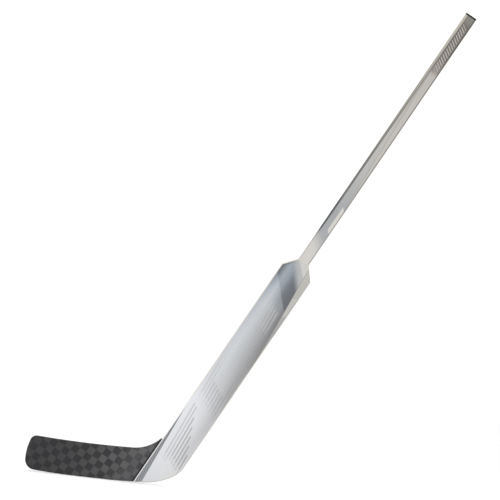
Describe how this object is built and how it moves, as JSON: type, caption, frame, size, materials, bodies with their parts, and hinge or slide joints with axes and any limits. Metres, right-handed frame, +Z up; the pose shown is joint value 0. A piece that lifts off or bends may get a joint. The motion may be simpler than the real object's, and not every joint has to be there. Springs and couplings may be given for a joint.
{
  "type": "goaltender ice hockey stick",
  "caption": "Goaltender's ice hockey stick: hollow bevelled shaft, wide foam-cored paddle, curved patterned blade.",
  "frame": {"origin": "on the ice at the middle of the sole's flat, in the mid-plane of shaft and paddle", "axes": "+Z up from the ice, -X towards the toe, +X towards the butt end, -Y out of the front face"},
  "size_m": [1.0418, 0.0434, 1.3083],
  "materials": {
    "cap": "moulded black",
    "shaft_laminate": "painted laminate, satin",
    "spigot": "as moulded",
    "paddle_face": "painted laminate, satin",
    "paddle_back": "painted laminate, satin",
    "rail": "painted, satin",
    "web": "bare laminate",
    "foam": "cut foam",
    "heel_filler": "cast",
    "blade_laminate": "clear-coated woven laminate",
    "bridge": "as moulded",
    "blade_edge": "clear-coated woven laminate, pale rim"
  },
  "bodies": {
    "root": {"butt_cap": "cap", "shaft_tube": "shaft_laminate", "neck_spigot": "spigot", "paddle_front_skin": "paddle_face", "paddle_back_skin": "paddle_back", "paddle_rail_toe_side": "rail", "paddle_rail_heel_side": "rail", "paddle_web_toe_side": "web", "paddle_web_heel_side": "web", "paddle_core_toe_side": "foam", "paddle_core_middle": "foam", "paddle_core_heel_side": "foam", "blade_core_upper": "foam", "blade_core_lower": "foam", "heel_block": "heel_filler", "blade_front_skin": "blade_laminate", "blade_back_skin": "blade_laminate", "blade_bridge": "bridge", "blade_top_edge": "blade_edge", "blade_toe_edge": "blade_edge", "blade_sole_edge": "blade_edge"}
  },
  "joints": []
}
